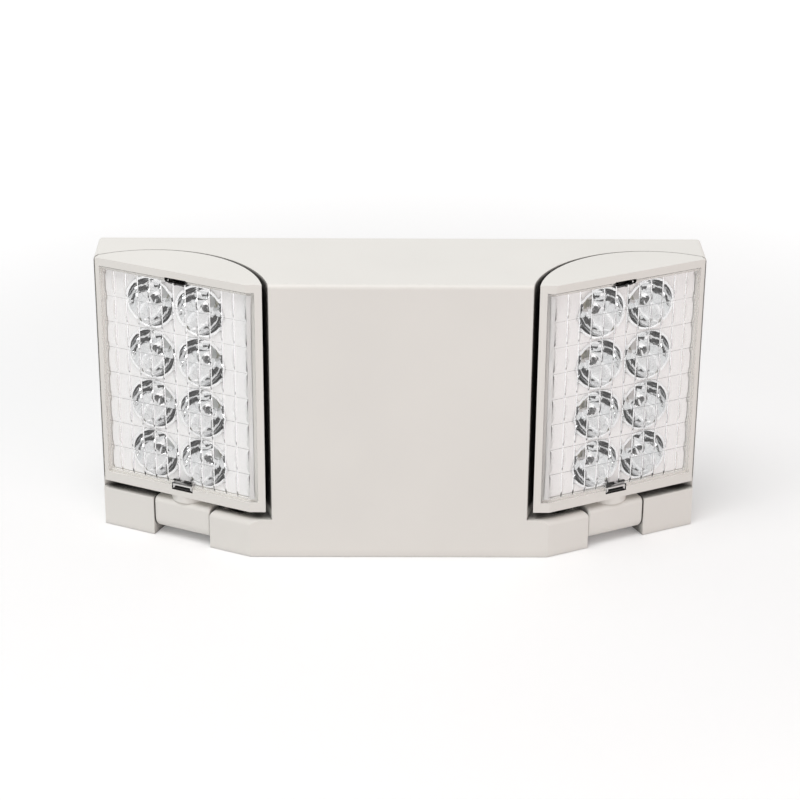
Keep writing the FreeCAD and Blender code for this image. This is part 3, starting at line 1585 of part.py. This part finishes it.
def board_screws():
    """Three screws that hold the light board to its bosses."""
    body = new_body("left_board_screws", CHEEK_FRAME)
    height = board_screw_heights()[0]
    shank = sketch(body, "XZ_Plane", "-sizes.board_in - sizes.board_screw_length")
    circle(shank, "places.board_middle", height, "sizes.board_screw_radius")
    features = [pad(body, shank, "sizes.board_screw_length")]
    head = sketch(body, "XZ_Plane", "-sizes.board_in")
    circle(head, "places.board_middle", height, "sizes.board_screw_head_radius")
    features.append(pad(body, head, "sizes.board_screw_head_thickness"))
    up = "(sizes.cup_rows - 2) * places.cup_pitch_up"
    pattern(body, features, "Z_Axis", up, "sizes.cup_rows - 1")


def mirrored_piece(source):
    """The right head's twin of a left piece."""
    name = source.Label.replace("left_", "right_")
    twin = doc.addObject("Part::Mirroring", name)
    twin.Label = name
    twin.Source = source
    twin.Normal = FreeCAD.Vector(1, 0, 0)
    pieces.append(twin)


def check_document():
    """Stops if an object failed or a piece has no sound shape."""
    doc.recompute()
    for item in doc.Objects:
        if "Invalid" in item.State or "Error" in item.State:
            raise RuntimeError(f"{item.Name} failed: {item.State}")
    for piece in pieces:
        if piece.Shape.isNull() or not piece.Shape.isValid():
            raise RuntimeError(f"{piece.Label} has no valid shape")


def build():
    front_cover()
    back_plate()
    charger_board()
    charger_screws()
    transformer_core()
    transformer_coil()
    capacitor()
    terminal_block()
    battery_pack()
    battery_strap()
    strap_screws()
    test_button()
    test_switch()
    charge_lamp()
    housing_count = len(pieces)
    knuckle()
    knuckle_lid()
    pivot_screw()
    pivot_washer()
    pivot_bush()
    swivel_stem()
    swivel_washer()
    stem_nut()
    head_shell()
    lens()
    reflector_plate()
    reflector_cups()
    light_board()
    emitters()
    board_screws()
    for source in pieces[housing_count:]:
        mirrored_piece(source)
    check_document()
    os.makedirs("parts", exist_ok=True)
    for piece in pieces:
        piece.Shape.exportStep(f"parts/{piece.Label}.step")
        print(f"{piece.Label}: {len(piece.Shape.Solids)} solids, {piece.Shape.Volume:.1f} mm3")


build()
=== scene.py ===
import json
import math

import bpy
from mathutils import Euler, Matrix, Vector


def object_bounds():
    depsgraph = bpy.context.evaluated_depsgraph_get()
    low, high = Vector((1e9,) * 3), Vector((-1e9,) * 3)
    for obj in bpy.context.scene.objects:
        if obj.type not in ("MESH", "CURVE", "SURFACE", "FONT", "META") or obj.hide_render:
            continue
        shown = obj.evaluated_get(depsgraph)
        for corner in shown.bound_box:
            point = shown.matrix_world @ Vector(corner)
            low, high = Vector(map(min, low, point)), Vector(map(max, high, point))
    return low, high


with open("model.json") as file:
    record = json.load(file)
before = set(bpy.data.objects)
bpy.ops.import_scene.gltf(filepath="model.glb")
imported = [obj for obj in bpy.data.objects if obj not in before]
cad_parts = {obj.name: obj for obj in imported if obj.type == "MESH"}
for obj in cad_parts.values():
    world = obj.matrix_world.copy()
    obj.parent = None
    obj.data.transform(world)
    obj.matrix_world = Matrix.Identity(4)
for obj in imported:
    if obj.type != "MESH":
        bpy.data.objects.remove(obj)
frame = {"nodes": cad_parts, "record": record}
scene = bpy.context.scene
cad_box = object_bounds()


# ---- places on a head, in metres -----------------------------------------------------------------
# Ends run along the head's front from its outer corner, depth runs inwards from that front, and
# rise runs up.

HEADS = ("left", "right")
HEAD_TURN = math.radians(25.65)
OUTER_CORNER = (0.140, 0.025)

BEHIND_FRONT = (0.0002, 0.0200)
FRONT_AND_BEHIND = (-0.0010, 0.0200)

OPENING_ENDS = (0.0373, 0.0485)
SLOT_RISE = (0.0600, 0.06475)
LENS_NOTCH_RISE = (0.0620, 0.06475)
WINDOW_RISE = (-0.0420, -0.0382)

SLIT_ENDS = ((0.0383, 0.0420), (0.0438, 0.0475))
SLIT_RISE = (-0.0372, -0.0362)
LOOP_ENDS = (0.03795, 0.04785)
LOOP_TOP_RISE = (-0.0386, -0.0377)
LOOP_RISE = (-0.0413, -0.0386)
LOOP_HOLE_ENDS = (0.0388, 0.0470)
LOOP_HOLE_RISE = (-0.0413, -0.0404)

BEND_ENDS = (0.0779, 0.0792)
BEND_RISE = (-0.0385, 0.0628)
BEND_DEPTH = (0.0011, 0.0022)

REVEAL_ENDS = (0.0814, 0.0820)
REVEAL_RISE = (-0.0400, 0.0643)
REVEAL_DEPTH = (0.0023, 0.0033)


def on_the_head(point):
    """Distances along the head's front from its outer corner, inwards from that front, and up."""
    inboard = OUTER_CORNER[0] - abs(point.x)
    behind = OUTER_CORNER[1] + point.y
    cosine, sine = math.cos(HEAD_TURN), math.sin(HEAD_TURN)
    return inboard * cosine - behind * sine, inboard * sine + behind * cosine, point.z


# ---- node helpers --------------------------------------------------------------------------------

COLOUR_BLEND = (0.35, 0.65)
NUMBER_BLEND = (0.3, 0.7)


def new_material(name):
    """A material, its node tree and its Principled shader."""
    material = bpy.data.materials.new(name)
    material.use_nodes = True
    return material, material.node_tree, material.node_tree.nodes["Principled BSDF"]


def add_node(tree, kind, **settings):
    """A node of one kind, with its own settings."""
    node = tree.nodes.new(kind)
    for key, setting in settings.items():
        setattr(node, key, setting)
    return node


def math_node(tree, operation, *terms):
    """A Math node fed by sockets or plain numbers."""
    node = add_node(tree, "ShaderNodeMath", operation=operation)
    for socket, term in zip(node.inputs, terms):
        if isinstance(term, (int, float)):
            socket.default_value = term
        else:
            tree.links.new(term, socket)
    return node.outputs[0]


def mapped(tree, term, start, end, low=0.0, high=1.0, interpolation="LINEAR"):
    """A number that runs from low to high while the term runs from start to end."""
    spread = add_node(tree, "ShaderNodeMapRange", interpolation_type=interpolation)
    spread.inputs["From Min"].default_value = start
    spread.inputs["From Max"].default_value = end
    spread.inputs["To Min"].default_value = low
    spread.inputs["To Max"].default_value = high
    tree.links.new(term, spread.inputs["Value"])
    return spread.outputs["Result"]


def smooth_step(tree, term, start, end):
    """Nought before start and one after end, with a smooth rise between them."""
    return mapped(tree, term, start, end, interpolation="SMOOTHSTEP")


def object_noise(tree, scale, detail=2.0, stretch=(1.0, 1.0, 1.0)):
    """Noise in object coordinates, in metres, stretched along an axis where asked."""
    place = add_node(tree, "ShaderNodeTexCoord")
    mapping = add_node(tree, "ShaderNodeMapping")
    mapping.inputs["Scale"].default_value = stretch
    noise = add_node(tree, "ShaderNodeTexNoise")
    noise.inputs["Scale"].default_value = scale
    noise.inputs["Detail"].default_value = detail
    tree.links.new(place.outputs["Object"], mapping.inputs["Vector"])
    tree.links.new(mapping.outputs["Vector"], noise.inputs["Vector"])
    return noise.outputs["Fac"]


def blended_colour(tree, factor, low, high):
    """A colour that runs from low to high over the factor's middle range."""
    ramp = add_node(tree, "ShaderNodeValToRGB")
    for stop, position, colour in zip(ramp.color_ramp.elements, COLOUR_BLEND, (low, high)):
        stop.position = position
        stop.color = (*colour, 1)
    tree.links.new(factor, ramp.inputs["Fac"])
    return ramp.outputs["Color"]


def colour_from(tree, shader, factor, low, high):
    """Runs the shader's colour from low to high over the factor's middle range."""
    tree.links.new(blended_colour(tree, factor, low, high), shader.inputs["Base Color"])


def roughness_from(tree, shader, factor, low, high):
    """Runs the shader's roughness from low to high over the factor's middle range."""
    tree.links.new(mapped(tree, factor, *NUMBER_BLEND, low, high), shader.inputs["Roughness"])


def bump_from(tree, shader, factor, strength, distance):
    """Raises the surface by the factor, over a distance in metres."""
    bump = add_node(tree, "ShaderNodeBump")
    bump.inputs["Strength"].default_value = strength
    bump.inputs["Distance"].default_value = distance
    tree.links.new(factor, bump.inputs["Height"])
    tree.links.new(bump.outputs["Normal"], shader.inputs["Normal"])


# ---- materials -----------------------------------------------------------------------------------

OFF_WHITE = (0.80, 0.785, 0.745)
# Painted shade in gaps: the near-black colour, and the occlusion range over which it gives way to
# the body colour.
GAP_SHADE_COLOUR = (0.010, 0.008, 0.007)
GAP_OPENNESS = (0.22, 0.58)
GAP_SAMPLES = 8

FLOW_SCALE, FLOW_DETAIL = 14.0, 3.0
GRAIN_SCALE, GRAIN_DEPTH = 2600.0, 0.00004
GRAIN_GLOSS = (-0.05, 0.07)
POLISH_SCALE, POLISH_DETAIL, POLISH_BUMP, POLISH_DEPTH = 900.0, 3.0, 0.1, 0.00003
POLISH_GLOSS = 0.15
POLISH_SHADE = 0.86
WAVE_DEPTH = 0.0003
LENS_WAVE_SCALE, LENS_WAVE_DETAIL, LENS_WAVE_BUMP = 160.0, 1.0, 0.1
LENS_GLOSS = (0.0, 0.02)
FILM_WAVE_SCALE, FILM_WAVE_BUMP = 240.0, 0.12
FILM_GLOSS = (0.03, 0.08)
FILM_SHADE, FILM_COLOUR = (0.82, 0.825, 0.83), (0.90, 0.90, 0.90)
FILM_EDGE = (0.45, 0.45, 0.45)
BAND_WAVER, BAND_GLOSS, BAND_BUMP, BAND_DEPTH = 0.6, 0.1, 0.3, 0.0002

PLASTIC_IOR = 1.5
CLEAR_IOR = 1.49
CLEAR_COLOUR = (0.99, 0.99, 0.99)


def painted_gap_shade(tree, body, gap_shade_depth):
    """Painted shade: the body colour, turned near black by an ambient occlusion node where other
    faces stand closer than the gap's depth.
    """
    open_sky = add_node(tree, "ShaderNodeAmbientOcclusion", samples=GAP_SAMPLES)
    open_sky.inputs["Distance"].default_value = gap_shade_depth
    shaded = add_node(tree, "ShaderNodeMix", data_type="RGBA")
    openness = smooth_step(tree, open_sky.outputs["AO"], *GAP_OPENNESS)
    tree.links.new(openness, shaded.inputs["Factor"])
    shaded.inputs["A"].default_value = (*GAP_SHADE_COLOUR, 1)
    tree.links.new(body, shaded.inputs["B"])
    return shaded.outputs["Result"]


def moulded_plastic(name, colour, roughness=0.45, grain=0.35, tint=0.03, gap_shade_depth=0.0):
    """Moulded plastic: faint flow shading, fine grain, uneven gloss, and, if asked, a near-black
    painted shade in gaps.
    """
    material, tree, shader = new_material(name)
    darker = tuple(part * (1 - tint) for part in colour)
    flow = object_noise(tree, FLOW_SCALE, FLOW_DETAIL)
    body = blended_colour(tree, flow, darker, colour)
    if gap_shade_depth:
        body = painted_gap_shade(tree, body, gap_shade_depth)
    tree.links.new(body, shader.inputs["Base Color"])
    fine = object_noise(tree, GRAIN_SCALE)
    roughness_from(tree, shader, fine, *(roughness + change for change in GRAIN_GLOSS))
    bump_from(tree, shader, fine, grain, GRAIN_DEPTH)
    shader.inputs["IOR"].default_value = PLASTIC_IOR
    return material


def plated_metal(name, colour, roughness=0.25, stretch=(1.0, 1.0, 1.0)):
    """Plated or drawn metal with fine uneven polish."""
    material, tree, shader = new_material(name)
    fine = object_noise(tree, POLISH_SCALE, POLISH_DETAIL, stretch)
    darker = tuple(part * POLISH_SHADE for part in colour)
    colour_from(tree, shader, fine, darker, colour)
    roughness_from(tree, shader, fine, roughness, roughness + POLISH_GLOSS)
    bump_from(tree, shader, fine, POLISH_BUMP, POLISH_DEPTH)
    shader.inputs["Metallic"].default_value = 1.0
    return material


def clear_plastic(name):
    """Polished clear plastic that lets lamp light and bounced light through to what is behind."""
    material, tree, shader = new_material(name)
    shader.inputs["Base Color"].default_value = (*CLEAR_COLOUR, 1)
    shader.inputs["Transmission Weight"].default_value = 1.0
    shader.inputs["IOR"].default_value = CLEAR_IOR
    wave = object_noise(tree, LENS_WAVE_SCALE, LENS_WAVE_DETAIL)
    roughness_from(tree, shader, wave, *LENS_GLOSS)
    bump_from(tree, shader, wave, LENS_WAVE_BUMP, WAVE_DEPTH)
    rays = add_node(tree, "ShaderNodeLightPath").outputs
    lit_through = math_node(tree, "MAXIMUM", rays["Is Shadow Ray"], rays["Is Diffuse Ray"])
    see_through = add_node(tree, "ShaderNodeBsdfTransparent")
    see_through.inputs["Color"].default_value = (1, 1, 1, 1)
    either = add_node(tree, "ShaderNodeMixShader")
    tree.links.new(lit_through, either.inputs[0])
    tree.links.new(shader.outputs[0], either.inputs[1])
    tree.links.new(see_through.outputs[0], either.inputs[2])
    tree.links.new(either.outputs[0], tree.nodes["Material Output"].inputs["Surface"])
    return material


def bright_cup(name):
    """Metallised plastic: a mirror film that shows what stands round the unit."""
    material, tree, shader = new_material(name)
    wave = object_noise(tree, FILM_WAVE_SCALE)
    colour_from(tree, shader, wave, FILM_SHADE, FILM_COLOUR)
    roughness_from(tree, shader, wave, *FILM_GLOSS)
    bump_from(tree, shader, wave, FILM_WAVE_BUMP, WAVE_DEPTH)
    shader.inputs["Metallic"].default_value = 1.0
    shader.inputs["Specular Tint"].default_value = (*FILM_EDGE, 1)
    return material


def banded(name, first, second, bands, roughness):
    """Layers or turns seen edge on, such as laminations or winding tape, stacked along Z."""
    material, tree, shader = new_material(name)
    place = add_node(tree, "ShaderNodeTexCoord")
    wave = add_node(tree, "ShaderNodeTexWave", bands_direction="Z")
    wave.inputs["Scale"].default_value = bands
    wave.inputs["Distortion"].default_value = BAND_WAVER
    tree.links.new(place.outputs["Object"], wave.inputs["Vector"])
    band = wave.outputs["Fac"]
    colour_from(tree, shader, band, first, second)
    roughness_from(tree, shader, band, roughness, roughness + BAND_GLOSS)
    bump_from(tree, shader, band, BAND_BUMP, BAND_DEPTH)
    return material


MATERIALS = {
    "housing": moulded_plastic("off_white_plastic", OFF_WHITE),
    # The cover has a near-black painted shade wherever other faces stand within 9 mm, as in the
    # recess round the heads.
    "cover": moulded_plastic("off_white_plastic_gap_shade", OFF_WHITE, gap_shade_depth=0.009),
    # Near-black painted shade, given to the walls of slots, windows, notches, slits and the reveal
    # beside the right lens.
    "shadowed": moulded_plastic(
        "opening_painted_shade", (0.012, 0.010, 0.009), roughness=0.6, grain=0.1, tint=0.1
    ),
    # Pale opaque painted highlight in place of clear plastic, standing for light caught in the
    # lens's latch loop and along its bend.
    "loop": moulded_plastic(
        "clear_edge_painted_highlight", (0.74, 0.74, 0.73), roughness=0.25, grain=0.1, tint=0.02
    ),
    "back_plate": moulded_plastic("back_plate_plastic", (0.76, 0.745, 0.705), roughness=0.5),
    "clear_lens": clear_plastic("clear_plastic"),
    "white_plate": moulded_plastic(
        "white_plastic", (0.96, 0.96, 0.955), roughness=0.28, grain=0.1, tint=0.01
    ),
    "bright_cups": bright_cup("metallised_plastic"),
    "white_board": moulded_plastic(
        "white_solder_mask", (0.82, 0.83, 0.82), roughness=0.35, grain=0.2
    ),
    "emitter_yellow": moulded_plastic("phosphor", (0.34, 0.33, 0.26), roughness=0.25, grain=0.1),
    "green_board": moulded_plastic(
        "green_solder_mask", (0.02, 0.10, 0.04), roughness=0.35, grain=0.3, tint=0.15
    ),
    "core_steel": banded(
        "laminations", (0.10, 0.10, 0.11), (0.30, 0.30, 0.31), bands=600.0, roughness=0.4
    ),
    "coil_tape": banded(
        "winding_tape", (0.62, 0.42, 0.08), (0.75, 0.55, 0.14), bands=160.0, roughness=0.35
    ),
    "capacitor_sleeve": moulded_plastic(
        "dark_sleeve", (0.012, 0.016, 0.04), roughness=0.3, grain=0.1, tint=0.2
    ),
    "terminal_plastic": moulded_plastic("green_plastic", (0.02, 0.14, 0.05), roughness=0.4),
    "battery_wrap": moulded_plastic(
        "blue_wrap", (0.03, 0.11, 0.38), roughness=0.3, grain=0.3, tint=0.12
    ),
    "zinc_strap": plated_metal(
        "zinc_sheet", (0.62, 0.63, 0.65), roughness=0.3, stretch=(1.0, 1.0, 0.1)
    ),
    "zinc_screws": plated_metal("zinc_screw", (0.60, 0.61, 0.62), roughness=0.25),
    "switch_plastic": moulded_plastic(
        "black_plastic", (0.02, 0.02, 0.02), roughness=0.4, grain=0.3, tint=0.2
    ),
    "lamp_plastic": moulded_plastic(
        "red_lamp_plastic", (0.42, 0.02, 0.012), roughness=0.12, grain=0.05, tint=0.1
    ),
    "button_plastic": moulded_plastic(
        "red_button_plastic", (0.46, 0.02, 0.015), roughness=0.3, grain=0.2, tint=0.1
    ),
    "bush_plastic": moulded_plastic(
        "natural_acetal", (0.78, 0.77, 0.72), roughness=0.35, grain=0.2
    ),
}

slots = {entry["node"]: entry["material_slot"] for entry in frame["record"]["subparts"]}
for name, part in frame["nodes"].items():
    part.data.materials.clear()
    part.data.materials.append(MATERIALS["cover" if name == "front_cover" else slots[name]])


# ---- openings and clear edges on the heads: painted shade and painted highlights -----------------

def paint_faces(name, key, ends, rise, depth=BEHIND_FRONT):
    """Gives the faces inside a box on a head, such as the walls of its slot, another material, here
    a painted shade or a painted highlight.
    """
    mesh = frame["nodes"][name].data
    mesh.materials.append(MATERIALS[key])
    for face in mesh.polygons:
        spans = zip(on_the_head(face.center), (ends, depth, rise))
        if all(low <= place <= high for place, (low, high) in spans):
            face.material_index = len(mesh.materials) - 1


# The reveal wall beside the right lens gets a near-black painted shade.
paint_faces("right_head_shell", "shadowed", REVEAL_ENDS, REVEAL_RISE, REVEAL_DEPTH)
for side in HEADS:
    shell, plate, lens = f"{side}_head_shell", f"{side}_reflector_plate", f"{side}_lens"
    # Slot, window, notch and slit walls get a near-black painted shade.
    paint_faces(shell, "shadowed", OPENING_ENDS, SLOT_RISE)
    paint_faces(plate, "shadowed", OPENING_ENDS, SLOT_RISE)
    paint_faces(shell, "shadowed", OPENING_ENDS, WINDOW_RISE)
    paint_faces(lens, "shadowed", OPENING_ENDS, LENS_NOTCH_RISE)
    for slit_ends in SLIT_ENDS:
        paint_faces(lens, "shadowed", slit_ends, SLIT_RISE)
    # The lens's bend and loop get a pale painted highlight; the gap above the loop and the hole
    # within it get painted shade.
    paint_faces(lens, "loop", BEND_ENDS, BEND_RISE, BEND_DEPTH)
    paint_faces(lens, "shadowed", LOOP_ENDS, LOOP_TOP_RISE)
    paint_faces(lens, "loop", LOOP_ENDS, LOOP_RISE, FRONT_AND_BEHIND)
    paint_faces(lens, "shadowed", LOOP_HOLE_ENDS, LOOP_HOLE_RISE, FRONT_AND_BEHIND)


# ---- floor, light and camera ---------------------------------------------------------------------

UNIT = Vector((0, 0, 0))
UNDERSIDE = cad_box[0][2]

FLOOR_SIZE = 8.0
FLOOR_CLEARANCE = 0.0002
FLOOR_GREY, FLOOR_ROUGHNESS = 0.86, 0.9
OPEN_FLOOR = (0.22, 0.80)
FLOOR_GLOW_NEAR, FLOOR_GLOW_ADDED = 0.14, 0.42
WORLD_LEVEL = 0.52

CARD_CLOTH_SCALE = 30.0
CARD_SHADE, CARD_COLOUR = (0.01, 0.01, 0.01), (0.02, 0.02, 0.02)

CAMERA_PLACE = (-0.01092, -1.04950, 0.46418)
CAMERA_LENS = 108.31
CAMERA_NEAR, CAMERA_FAR = 0.05, 50.0
CAMERA_DOWN = math.radians(24.520)
CAMERA_TURNED = math.radians(0.6246)
CAMERA_ROLLED = math.radians(0.4092)


def seen_directly(tree):
    """One where the camera, a reflection or a clear part looks, and nought for bounced light."""
    rays = add_node(tree, "ShaderNodeLightPath").outputs
    in_view = math_node(tree, "MAXIMUM", rays["Is Camera Ray"], rays["Is Glossy Ray"])
    return math_node(tree, "MAXIMUM", in_view, rays["Is Transmission Ray"])


def pale_floor():
    """A plain floor that keeps the object's shadow and is seen as white where it is open."""
    bpy.ops.mesh.primitive_plane_add(size=FLOOR_SIZE, location=(0, 0, UNDERSIDE - FLOOR_CLEARANCE))
    floor = bpy.context.object
    floor.name = "floor"
    material, tree, shader = new_material("pale_floor")
    shader.inputs["Base Color"].default_value = (FLOOR_GREY, FLOOR_GREY, FLOOR_GREY, 1)
    shader.inputs["Roughness"].default_value = FLOOR_ROUGHNESS
    place = add_node(tree, "ShaderNodeTexCoord")
    distance = add_node(tree, "ShaderNodeVectorMath", operation="LENGTH")
    tree.links.new(place.outputs["Object"], distance.inputs[0])
    reach = smooth_step(tree, distance.outputs["Value"], *OPEN_FLOOR)
    level = math_node(tree, "MULTIPLY_ADD", reach, FLOOR_GLOW_ADDED, FLOOR_GLOW_NEAR)
    glow = math_node(tree, "MULTIPLY", seen_directly(tree), level)
    shader.inputs["Emission Color"].default_value = (1, 1, 1, 1)
    tree.links.new(glow, shader.inputs["Emission Strength"])
    floor.data.materials.append(material)


def soft_world(level):
    """An even pale surround, white where the camera, a reflection or a clear part sees it."""
    world = bpy.data.worlds.new("studio")
    scene.world = world
    world.use_nodes = True
    tree = world.node_tree
    surround = tree.nodes["Background"]
    surround.inputs["Color"].default_value = (1, 1, 1, 1)
    strength = mapped(tree, seen_directly(tree), 0.0, 1.0, level, 1.0)
    tree.links.new(strength, surround.inputs["Strength"])


def facing_unit(place):
    """The turn that points an object's -Z from its place to the unit."""
    return (UNIT - Vector(place)).to_track_quat("-Z", "Y")


def area_light(name, place, size, power, colour=(1, 1, 1), mirrored=True):
    """A square lamp aimed at the unit, which mirrors and clear parts show unless told not to."""
    data = bpy.data.lights.new(name, "AREA")
    data.color = colour
    data.shape = "SQUARE"
    data.size = size
    data.energy = power
    lamp = bpy.data.objects.new(name, data)
    scene.collection.objects.link(lamp)
    lamp.visible_glossy = mirrored
    lamp.visible_transmission = mirrored
    lamp.location = place
    lamp.rotation_euler = facing_unit(place).to_euler()


def dark_card(name, centre, width, height):
    """A black card behind the camera, as a studio has, which only mirrors and clear parts see."""
    turn = facing_unit(centre).to_matrix()
    across, up = width / 2, height / 2
    corners = [(-across, -up), (across, -up), (across, up), (-across, up)]
    points = [Vector(centre) + turn @ Vector((u, v, 0.0)) for u, v in corners]
    mesh = bpy.data.meshes.new(name)
    mesh.from_pydata(points, [], [(0, 1, 2, 3)])
    card = bpy.data.objects.new(name, mesh)
    scene.collection.objects.link(card)
    card.visible_camera = False
    card.visible_diffuse = False
    card.visible_shadow = False
    material, tree, shader = new_material(name)
    cloth = object_noise(tree, CARD_CLOTH_SCALE)
    colour_from(tree, shader, cloth, CARD_SHADE, CARD_COLOUR)
    shader.inputs["Roughness"].default_value = 1.0
    mesh.materials.append(material)


def photo_camera():
    """The camera at the photograph's viewing angle: in front, looking down on the unit."""
    data = bpy.data.cameras.new("camera")
    data.lens = CAMERA_LENS
    data.clip_start = CAMERA_NEAR
    data.clip_end = CAMERA_FAR
    camera = bpy.data.objects.new("camera", data)
    scene.collection.objects.link(camera)
    camera.location = CAMERA_PLACE
    aim = Euler((math.pi / 2 - CAMERA_DOWN, 0, -CAMERA_TURNED)).to_matrix()
    roll = Euler((0, 0, CAMERA_ROLLED)).to_matrix()
    camera.rotation_euler = (aim @ roll).to_euler()
    scene.camera = camera


pale_floor()
soft_world(WORLD_LEVEL)
area_light("key", (-0.34, -0.50, 1.45), size=0.9, power=12.5)
area_light(
    "fill", (1.10, -1.40, 0.45), size=1.2, power=4.6, colour=(1.0, 0.70, 0.66), mirrored=False
)
dark_card("dark_card", (0.0, -1.30, 0.80), width=1.5, height=1.1)
photo_camera()
scene.view_settings.view_transform = "Standard"
